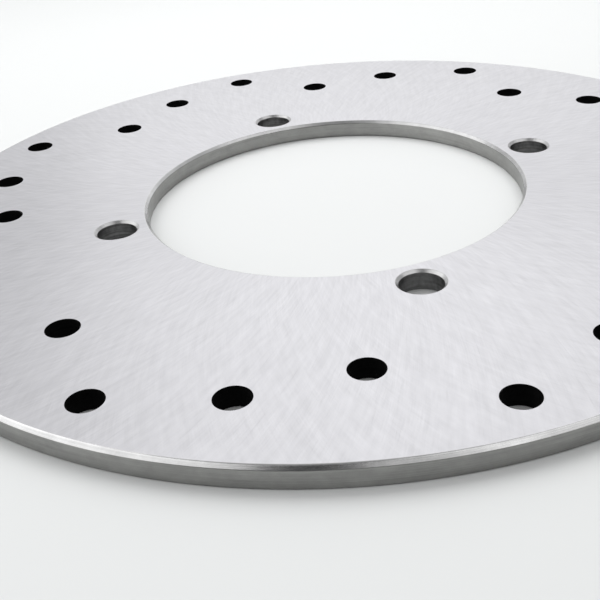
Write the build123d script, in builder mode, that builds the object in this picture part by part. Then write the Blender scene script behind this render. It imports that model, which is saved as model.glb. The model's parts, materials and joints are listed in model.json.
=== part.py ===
from build123d import *

import os

# A solid brake disc rotor for the rear wheel of a motorcycle.
#
# It is one flat ring, cut from stainless plate and ground on both faces, with nothing
# fastened to it. The bore locates on the wheel hub, four bolts clamp the ring to the hub,
# and the drilled holes clean and cool the band that the brake pads sweep.
#
# Millimetres. The origin is the centre of the hub-side face, +Z is the axis that the rotor
# turns about, away from the hub, and +X passes through a bolt hole. The rim, the bore and
# the bolt holes are chamfered on the outer face only; the hub side's edges are square.

# Ring
outer_diameter = 240.0
bore_diameter = 104.0
thickness = 5.0
rim_chamfer = 0.8
bore_chamfer = 0.8

# Bolt holes
bolt_count = 4
bolt_circle_diameter = 122.0
bolt_hole_diameter = 10.5
bolt_hole_chamfer = 0.7

# Drilled holes: one at each pitch, stepping inwards through three radii and starting again,
# so that together they reach across the whole of the band the pads sweep. The holes at the
# two outer radii sit a little behind the even pitch.
drilled_count = 24
drilled_diameter = 8.0
drilled_radii = (108.5, 100.5, 91.5)
drilled_lags = (0.6, 0.2, 0.0)

drilled_pitch = 360 / drilled_count
drilled_per_radius = drilled_count // len(drilled_radii)


def outer_face_edges(part, diameter):
    """The edges of one diameter on the outer face."""
    edges = part.edges().filter_by(GeomType.CIRCLE).group_by(Axis.Z)[-1]
    return edges.filter_by(lambda edge: abs(2 * edge.radius - diameter) < 0.01)


with BuildPart() as brake_disc:
    # Ring, with its outer and inner corners chamfered
    with BuildSketch():
        Circle(outer_diameter / 2)
        Circle(bore_diameter / 2, mode=Mode.SUBTRACT)
    extrude(amount=thickness)
    chamfer(outer_face_edges(brake_disc, outer_diameter), rim_chamfer)
    chamfer(outer_face_edges(brake_disc, bore_diameter), bore_chamfer)

    # Bolt holes, with chamfered mouths
    with BuildSketch():
        with PolarLocations(bolt_circle_diameter / 2, bolt_count):
            Circle(bolt_hole_diameter / 2)
    extrude(amount=thickness, mode=Mode.SUBTRACT)
    chamfer(outer_face_edges(brake_disc, bolt_hole_diameter), bolt_hole_chamfer)

    # Drilled holes, one radius after another, with sharp edges
    with BuildSketch():
        for step, (radius, lag) in enumerate(zip(drilled_radii, drilled_lags)):
            with PolarLocations(radius, drilled_per_radius, step * drilled_pitch - lag):
                Circle(drilled_diameter / 2)
    extrude(amount=thickness, mode=Mode.SUBTRACT)

brake_disc.part.label = "brake_disc"

os.makedirs("parts", exist_ok=True)
export_step(brake_disc.part, "parts/brake_disc.step")
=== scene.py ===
import json
import math

import bpy
from mathutils import Matrix, Vector
from mathutils.geometry import delaunay_2d_cdt


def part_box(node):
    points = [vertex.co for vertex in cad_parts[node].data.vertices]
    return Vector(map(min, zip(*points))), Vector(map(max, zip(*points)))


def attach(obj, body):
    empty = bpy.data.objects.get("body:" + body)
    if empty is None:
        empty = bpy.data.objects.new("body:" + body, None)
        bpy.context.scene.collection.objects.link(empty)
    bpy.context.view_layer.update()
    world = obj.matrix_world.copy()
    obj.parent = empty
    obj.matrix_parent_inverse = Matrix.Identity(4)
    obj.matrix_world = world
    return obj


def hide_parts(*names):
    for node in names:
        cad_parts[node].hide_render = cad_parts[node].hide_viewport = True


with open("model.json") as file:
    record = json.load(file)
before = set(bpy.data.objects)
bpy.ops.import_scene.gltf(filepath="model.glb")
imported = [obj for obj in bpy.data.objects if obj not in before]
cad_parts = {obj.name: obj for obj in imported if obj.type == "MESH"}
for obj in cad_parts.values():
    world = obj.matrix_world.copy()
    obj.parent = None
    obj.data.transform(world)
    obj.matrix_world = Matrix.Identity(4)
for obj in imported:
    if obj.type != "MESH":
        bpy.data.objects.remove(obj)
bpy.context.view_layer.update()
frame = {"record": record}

MM = 0.001
mounts = {mount["name"]: mount for mount in frame["record"]["mounts"]}
low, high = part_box("brake_disc")

# Driving sizes, in millimetres, from the frame
RIM_R = high.x / MM
THICKNESS = (high.z - low.z) / MM
BORE_R = mounts["hub_bore"]["dims"]["r_mm"]
BORE_WALL = mounts["hub_bore"]["dims"]["length_mm"]
BOLT_R = mounts["bolt_holes"]["dims"]["hole_r_mm"]
BOLT_CIRCLE_R = mounts["bolt_holes"]["dims"]["pcd_mm"] / 2
BOLT_COUNT = mounts["bolt_holes"]["dims"]["count"]

# Sizes that the frame doesn't name, the same as the CAD's
CHAMFER = THICKNESS - BORE_WALL
BOLT_CHAMFER = 0.7
DRILLED_R = 4.0
DRILLED_RADII = (108.5, 100.5, 91.5)
DRILLED_LAGS = (0.6, 0.2, 0.0)
DRILLED_COUNT = 24

# Edges are never knife sharp. Each wall's are rounded by these radii, from the top face down
RIM_ROUNDS = (0.6, 0.25, 0.35)
BORE_ROUNDS = (0.3, 0.3, 0.25)
BOLT_ROUNDS = (0.25, 0.15, 0.25)
DRILLED_ROUNDS = (0.05, 0.1)
EDGE_STEPS = 4

# How many sides each wall has, going round, and how far apart the points on the faces are
RIM_SIDES, BORE_SIDES, BOLT_SIDES, DRILLED_SIDES = 480, 240, 72, 56
FILL_SPACING = 4.0

# Which side of a wall the steel is on
OUTSIDE, HOLE = 1, -1

FACE, RIM_CHAMFER, BORE_CHAMFER, TURNED, BOLT_MOUTH, BOLT_WALL, DRILLED_WALL = range(7)


# ---- Mesh ------------------------------------------------------------------

def polar(r, angle):
    return r * math.cos(angle), r * math.sin(angle)


def rounded(corners, radii, steps):
    """A path with each inner corner rounded: the points of every arc, with their headings."""
    out = []
    for before, corner, after, radius in zip(corners, corners[1:], corners[2:], radii):
        come = (Vector(corner) - Vector(before)).normalized()
        go = (Vector(after) - Vector(corner)).normalized()
        setback = radius * math.tan(come.angle(go) / 2)
        # 1 if the path turns left at this corner, -1 if it turns right
        side = 1 if Vector((-come.y, come.x)).dot(go) > 0 else -1
        centre = Vector(corner) - come * setback + Vector((-come.y, come.x)) * side * radius
        arc = []
        for step in range(steps + 1):
            heading = come.slerp(go, step / steps)
            arc.append((centre - Vector((-heading.y, heading.x)) * side * radius, heading))
        out.append(arc)
    return out


class Builder:
    """Vertices, faces, materials and corner normals of the disc, gathered wall by wall."""

    def __init__(self):
        self.points, self.faces, self.materials, self.normals = [], [], [], []

    def ring(self, centre, r, z, count):
        start = len(self.points)
        for i in range(count):
            x, y = polar(r, math.tau * i / count)
            self.points.append((centre[0] + x, centre[1] + y, z))
        return start

    def wall(self, centre, corners, rounds, count, sign, materials):
        """Turns a path about a vertical axis. sign is OUTSIDE or HOLE."""
        arcs = rounded(corners, rounds, EDGE_STEPS)
        rows = []
        for arc in arcs:
            for place, heading in arc:
                start = self.ring(centre, place.x, place.y, count)
                rows.append((start, (-heading.y * sign, heading.x * sign)))
        for row, ((s0, n0), (s1, n1)) in enumerate(zip(rows, rows[1:])):
            arc_index, within = divmod(row, EDGE_STEPS + 1)
            # The top edge goes with what is below it, the others with the wall
            strip = arc_index if within == EDGE_STEPS else (arc_index > 0) * (len(materials) - 1)
            material = materials[strip]
            for i in range(count):
                j = (i + 1) % count
                quad = [(s0 + i, n0, i), (s1 + i, n1, i), (s1 + j, n1, j), (s0 + j, n0, j)]
                if sign == HOLE:
                    quad.reverse()
                self.faces.append([q[0] for q in quad])
                self.materials.append(material)
                for _, n, k in quad:
                    self.normals.append((*polar(n[0], math.tau * k / count), n[1]))
        return rows[0][0], rows[-1][0]

    def flat(self, loops, holes, z, up):
        """Fills between the loops on one plane."""
        ids, flat, edges, loop_of = [], [], [], []
        for loop, (start, count) in enumerate(loops):
            first = len(flat)
            for i in range(count):
                ids.append(start + i)
                loop_of.append(loop)
                flat.append(Vector(self.points[start + i][:2]))
                edges.append((first + i, first + (i + 1) % count))
        for p in fill_points(holes):
            loop_of.append(None)
            ids.append(len(self.points))
            self.points.append((p[0], p[1], z))
            flat.append(Vector(p))
        out, _, faces, origins, _, _ = delaunay_2d_cdt(flat, edges, [], 0, 1e-6)
        for face in faces:
            sources = [origins[k][0] for k in face]
            # The first loop is the rim; a triangle with all its corners on another is in a hole
            if len({loop_of[k] for k in sources}) == 1 and loop_of[sources[0]]:
                continue
            corners = [ids[k] for k in sources]
            if not up:
                corners.reverse()
            self.faces.append(corners)
            self.materials.append(FACE)
            self.normals += [(0, 0, 1 if up else -1)] * len(corners)


def fill_points(holes):
    """Points spread over the face, so that its triangles are even."""
    rim_gap, hole_gap = 0.6 * FILL_SPACING, 0.4 * FILL_SPACING
    out = []
    r = BORE_R + CHAMFER + FILL_SPACING
    while r < RIM_R - CHAMFER - rim_gap:
        count = round(math.tau * r / FILL_SPACING)
        for i in range(count):
            p = polar(r, math.tau * (i + 0.5) / count)
            if all(math.dist(p, c) > hole_r + hole_gap for c, hole_r in holes):
                out.append(p)
        r += FILL_SPACING
    return out


def through_path(r, chamfer, sign):
    """A wall's path from the top face, over its chamfer if it has one, to the bottom face.

    It starts and ends a short way along the faces, so that the edges there are rounded too.
    """
    t, away = THICKNESS, 2.0 * sign
    lip = r - chamfer * sign
    mouth = [(lip, t), (r, t - chamfer)] if chamfer else [(r, t)]
    return [(lip - away, t), *mouth, (r, 0), (r - away, 0)]


def disc_mesh():
    build = Builder()
    tops, bottoms, holes = [], [], []

    def add(centre, r, chamfer, rounds, count, sign, materials):
        path = through_path(r, chamfer, sign)
        top, bottom = build.wall(centre, path, rounds, count, sign, materials)
        tops.append((top, count))
        bottoms.append((bottom, count))
        if sign == HOLE:
            holes.append((centre, r + chamfer))

    add((0, 0), RIM_R, CHAMFER, RIM_ROUNDS, RIM_SIDES, OUTSIDE, (RIM_CHAMFER, TURNED))
    add((0, 0), BORE_R, CHAMFER, BORE_ROUNDS, BORE_SIDES, HOLE, (BORE_CHAMFER, TURNED))
    for i in range(BOLT_COUNT):
        place = polar(BOLT_CIRCLE_R, math.tau * i / BOLT_COUNT)
        add(place, BOLT_R, BOLT_CHAMFER, BOLT_ROUNDS, BOLT_SIDES, HOLE, (BOLT_MOUTH, BOLT_WALL))
    for i in range(DRILLED_COUNT):
        step = i % len(DRILLED_RADII)
        angle = math.tau * i / DRILLED_COUNT - math.radians(DRILLED_LAGS[step])
        place = polar(DRILLED_RADII[step], angle)
        add(place, DRILLED_R, 0, DRILLED_ROUNDS, DRILLED_SIDES, HOLE, (DRILLED_WALL,))
    build.flat(tops, holes, THICKNESS, True)
    build.flat(bottoms, holes, 0, False)

    mesh = bpy.data.meshes.new("rotor_plate")
    mesh.from_pydata([tuple(c * MM for c in p) for p in build.points], [], build.faces)
    mesh.polygons.foreach_set("material_index", build.materials)
    mesh.polygons.foreach_set("use_smooth", [True] * len(mesh.polygons))
    mesh.normals_split_custom_set(build.normals)
    mesh.update()
    return mesh


# ---- Materials -------------------------------------------------------------

# Shader coordinates are in metres, and a noise cell is one unit across
PER_METRE = 1000.0

# The grind leaves two sets of streaks that cross. A lean is in radians per metre of radius,
# and a streak has the width it is given at this radius, in millimetres
WEAK_LEAN, STRONG_LEAN = -4.5, 2.9
WEAK_WEIGHT = 0.75
STREAK_R = 100.0


class Nodes:
    """Short ways to add shader nodes to one material."""

    def __init__(self, name):
        self.material = bpy.data.materials.new(name)
        self.material.use_nodes = True
        self.tree = self.material.node_tree
        self.shader = self.tree.nodes["Principled BSDF"]

    def put(self, socket, value):
        if isinstance(value, bpy.types.NodeSocket):
            self.tree.links.new(value, socket)
        else:
            socket.default_value = value

    def math(self, op, *values):
        node = self.tree.nodes.new("ShaderNodeMath")
        node.operation = op
        for socket, value in zip(node.inputs, values):
            self.put(socket, value)
        return node.outputs[0]

    def vector(self, x, y, z):
        node = self.tree.nodes.new("ShaderNodeCombineXYZ")
        for socket, value in zip(node.inputs, (x, y, z)):
            self.put(socket, value)
        return node.outputs[0]

    def scaled(self, *parts):
        """A vector whose parts are each a value times a number."""
        return self.vector(*(self.math("MULTIPLY", value, number) for value, number in parts))

    def radius(self, x, y):
        squares = self.math("ADD", self.math("MULTIPLY", x, x), self.math("MULTIPLY", y, y))
        return self.math("SQRT", squares)

    def place(self):
        coords = self.tree.nodes.new("ShaderNodeTexCoord")
        split = self.tree.nodes.new("ShaderNodeSeparateXYZ")
        self.put(split.inputs[0], coords.outputs["Object"])
        return split.outputs

    def noise(self, vector, detail=2.0, rough=0.5):
        node = self.tree.nodes.new("ShaderNodeTexNoise")
        node.inputs["Scale"].default_value = 1.0
        node.inputs["Detail"].default_value = detail
        node.inputs["Roughness"].default_value = rough
        self.put(node.inputs["Vector"], vector)
        return node.outputs[0]

    def spread(self, value, low, high, start=0.3, end=0.7):
        node = self.tree.nodes.new("ShaderNodeMapRange")
        self.put(node.inputs["Value"], value)
        node.inputs["From Min"].default_value = start
        node.inputs["From Max"].default_value = end
        node.inputs["To Min"].default_value = low
        node.inputs["To Max"].default_value = high
        return node.outputs[0]

    def tint(self, value, colour):
        node = self.tree.nodes.new("ShaderNodeVectorMath")
        node.operation = "SCALE"
        node.inputs[0].default_value = colour
        self.put(node.inputs["Scale"], value)
        return node.outputs[0]

    def bump(self, height, strength, distance):
        node = self.tree.nodes.new("ShaderNodeBump")
        node.inputs["Strength"].default_value = strength
        node.inputs["Distance"].default_value = distance
        self.put(node.inputs["Height"], height)
        return node.outputs[0]

    def metal(self, colour, rough, aniso):
        s = self.shader.inputs
        s["Metallic"].default_value = 1.0
        s["Anisotropic"].default_value = aniso
        self.put(s["Base Color"], colour)
        self.put(s["Roughness"], rough)


def swirl(n, lean, width, length, seed):
    """Streaks that run out from the axis and lean round as they go, as a cup wheel leaves them."""
    x, y, _ = n.place()
    r = n.radius(x, y)
    angle = n.math("ADD", n.math("ARCTAN2", y, x), n.math("MULTIPLY", r, lean))
    around = STREAK_R / width
    return n.noise(n.vector(
        n.math("MULTIPLY", n.math("COSINE", angle), around),
        n.math("MULTIPLY", n.math("SINE", angle), around),
        n.math("MULTIPLY_ADD", r, PER_METRE / length, seed),
    ))


def crossed_swirls(n, widths, length, seeds):
    """The weak and the strong streaks together, with their mean value."""
    weak = swirl(n, WEAK_LEAN, widths[0], length, seeds[0])
    strong = swirl(n, STRONG_LEAN, widths[1], length, seeds[1])
    return n.math("MULTIPLY_ADD", weak, WEAK_WEIGHT, strong), 0.5 * (1 + WEAK_WEIGHT)


def ground_face():
    n = Nodes("ground_face")
    fine, fine_mean = crossed_swirls(n, widths=(0.34, 0.34), length=5, seeds=(11.7, 3.1))
    wide, wide_mean = crossed_swirls(n, widths=(1.4, 1.3), length=7, seeds=(37.9, 23.3))
    # The fine streaks come and go in patches
    x, y, _ = n.place()
    cloud = n.noise(n.vector(n.math("MULTIPLY", x, 90.0), n.math("MULTIPLY", y, 90.0), 5.3), 3.0)
    patch = n.spread(cloud, 0.3, 1.15)
    fine_part = n.math("MULTIPLY", n.math("SUBTRACT", fine, fine_mean), patch)
    both = n.math("MULTIPLY_ADD", n.math("SUBTRACT", wide, wide_mean), 0.8, fine_part)
    # A few scratches are deeper, and darker, than the rest
    scratches = swirl(n, lean=2.8, width=0.45, length=11, seed=71.9)
    deep = n.spread(scratches, 0.0, 0.09, 0.66, 0.8)
    tone = n.math("SUBTRACT", n.spread(both, 0.86, 1.12, -0.49, 0.49), deep)
    rough = n.spread(fine, 0.28, 0.42, 0.62, 1.13)
    n.metal(n.tint(tone, (0.64, 0.636, 0.657)), rough, 0.55)
    # A highlight stretches along the tangent, which goes round the axis, across the streaks
    n.put(n.shader.inputs["Tangent"], n.vector(n.math("MULTIPLY", y, -1.0), x, 0.0))
    n.put(n.shader.inputs["Normal"], n.bump(both, 0.25, 0.00002))
    return n.material


def turned(name, colour, low, high, aniso, spacing):
    """A surface cut on a lathe: fine lines round the axis, broken up along their length."""
    n = Nodes(name)
    x, y, z = n.place()
    across = n.math("SUBTRACT", n.radius(x, y), z)
    lines = n.noise(n.scaled((x, 30.0), (y, 30.0), (across, PER_METRE / spacing)))
    blotch = n.noise(n.scaled((x, 260.0), (y, 260.0), (z, 420.0)), 4.0, 0.65)
    tone = n.spread(n.math("MULTIPLY_ADD", blotch, 0.8, lines), 0.78, 1.14, 0.6, 1.2)
    n.metal(n.tint(tone, colour), n.spread(lines, low, high), aniso)
    n.put(n.shader.inputs["Tangent"], n.vector(0.0, 0.0, 1.0))
    n.put(n.shader.inputs["Normal"], n.bump(lines, 0.3, 0.00002))
    return n.material


def hole_wall(name, colour, spacing, low, high):
    """A hole's wall: rings down its depth, with a mottled tone; the dark colour it is given is
    painted shade inside the hole.
    """
    n = Nodes(name)
    x, y, z = n.place()
    lines = n.noise(n.scaled((x, 60.0), (y, 60.0), (z, PER_METRE / spacing)))
    mottle = n.noise(n.scaled((x, 900.0), (y, 900.0), (z, 700.0)), 4.0)
    tone = n.spread(n.math("ADD", lines, mottle), 0.6, 1.3, 0.7, 1.3)
    n.metal(n.tint(tone, colour), n.spread(mottle, low, high), 0.0)
    n.put(n.shader.inputs["Normal"], n.bump(lines, 0.5, 0.00004))
    return n.material


# ---- The disc ---------------------------------------------------------------

def new_object(name, data):
    thing = bpy.data.objects.new(name, data)
    bpy.context.scene.collection.objects.link(thing)
    return thing


disc = new_object("rotor_plate", disc_mesh())
for material in (
    ground_face(),
    turned("rim_chamfer", (0.64, 0.64, 0.64), 0.16, 0.26, 0.5, 0.12),
    turned("bore_chamfer", (0.6, 0.6, 0.6), 0.24, 0.34, 0.3, 0.2),
    # Lathe-cut steel of the walls and their lower rounded edges, darkened to about half the
    # chamfers' tone as painted shade
    turned("turned_edge_and_painted_shade", (0.34, 0.34, 0.33), 0.30, 0.42, 0.5, 0.16),
    turned("bolt_mouth", (0.56, 0.56, 0.56), 0.28, 0.4, 0.2, 0.3),
    # Dark grey: painted shade inside the bolt holes, over the walls' real machining lines
    hole_wall("bolt_hole_wall_painted_shade", (0.19, 0.19, 0.19), 0.5, 0.35, 0.5),
    # Near black: painted shade inside the drilled holes, much darker than their bare steel would
    # be
    hole_wall("drilled_wall_painted_shade", (0.012, 0.012, 0.012), 0.3, 0.6, 0.8),
):
    disc.data.materials.append(material)
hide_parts("brake_disc")
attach(disc, "root")


# ---- Floor, light and camera -------------------------------------------------

FLOOR_HALF = 4.0
FLOOR_GAP = 0.0001


def floor_white():
    n = Nodes("floor_white")
    n.shader.inputs["Base Color"].default_value = (0.69, 0.70, 0.697, 1)
    n.shader.inputs["Roughness"].default_value = 0.6
    n.shader.inputs["Specular IOR Level"].default_value = 0.2
    return n.material


floor_mesh = bpy.data.meshes.new("floor")
floor_corners = [
    (FLOOR_HALF * x, FLOOR_HALF * y, 0) for x, y in ((-1, -1), (1, -1), (1, 1), (-1, 1))
]
floor_mesh.from_pydata(floor_corners, [], [(0, 1, 2, 3)])
floor_mesh.materials.append(floor_white())
floor = new_object("floor", floor_mesh)
floor.location.z = low.z - FLOOR_GAP

# Lamps and camera are placed as seen from the camera's side, and this turns them about +Z
# to their places in the row frame
TURN = Matrix.Rotation(math.radians(-14.63), 4, "Z")


def softbox(name, azimuth, elevation, distance, size, radiance):
    """A rectangular lamp aimed at the disc. Azimuth 0 is straight behind it, 90 to its right."""
    az, el = math.radians(azimuth), math.radians(elevation)
    way = Vector((math.sin(az) * math.cos(el), math.cos(az) * math.cos(el), math.sin(el)))
    place = distance * way
    data = bpy.data.lights.new(name, "AREA")
    data.shape = "RECTANGLE"
    data.size, data.size_y = size
    data.energy = radiance * math.pi * data.size * data.size_y
    lamp = new_object(name, data)
    lamp.matrix_world = TURN @ Matrix.LocRotScale(place, (-place).to_track_quat("-Z", "Y"), None)
    return lamp


# The overhead lamp lights the floor only, so that it leaves no glare on the ground face
overhead = softbox("overhead_back", 0, 60, 0.5, (0.7, 0.4), 2.15)
overhead.visible_glossy = False
softbox("back", 9, 36, 1.3, (1.15, 1.0), 0.48)
softbox("left", -96, 34, 1.2, (1.9, 1.6), 1.1)
softbox("right", 118, 46, 1.3, (1.1, 1.5), 0.85)
softbox("right_front", 160, 44, 1.3, (0.7, 0.6), 0.62)


def studio_world(front, back):
    """A pale studio: bright behind the disc, dimmer towards the camera's side."""
    world = bpy.data.worlds.new("studio")
    world.use_nodes = True
    tree = world.node_tree
    way = tree.nodes.new("ShaderNodeTexCoord")
    dot = tree.nodes.new("ShaderNodeVectorMath")
    dot.operation = "DOT_PRODUCT"
    dot.inputs[1].default_value = TURN.to_3x3() @ Vector((0, 1, 0))
    ramp = tree.nodes.new("ShaderNodeMapRange")
    ramp.inputs["From Min"].default_value = -0.62
    ramp.inputs["From Max"].default_value = 0.8
    ramp.inputs["To Min"].default_value = front
    ramp.inputs["To Max"].default_value = back
    background = tree.nodes["Background"]
    background.inputs["Color"].default_value = (0.985, 0.99, 1.0, 1)
    tree.links.new(way.outputs["Generated"], dot.inputs[0])
    tree.links.new(dot.outputs["Value"], ramp.inputs["Value"])
    tree.links.new(ramp.outputs[0], background.inputs["Strength"])
    return world


bpy.context.scene.world = studio_world(front=0.04, back=0.82)

PITCH, ROLL = math.radians(29.97), math.radians(5.6)
CAMERA_PLACE = (-12.32, -243.98, 109.88)

ahead = Vector((0, math.cos(PITCH), -math.sin(PITCH)))
level_right = Vector((1, 0, 0))
level_up = Vector((0, math.sin(PITCH), math.cos(PITCH)))
right = level_right * math.cos(ROLL) - level_up * math.sin(ROLL)
up = level_right * math.sin(ROLL) + level_up * math.cos(ROLL)
pose = Matrix((right, up, -ahead)).transposed().to_4x4()
pose.translation = Vector(CAMERA_PLACE) * MM
camera = new_object("camera", bpy.data.cameras.new("camera"))
camera.matrix_world = TURN @ pose
camera.data.sensor_width = 36.0
camera.data.lens = 56.52
camera.data.clip_start = 0.01
bpy.context.scene.camera = camera
bpy.context.scene.view_settings.view_transform = "Standard"
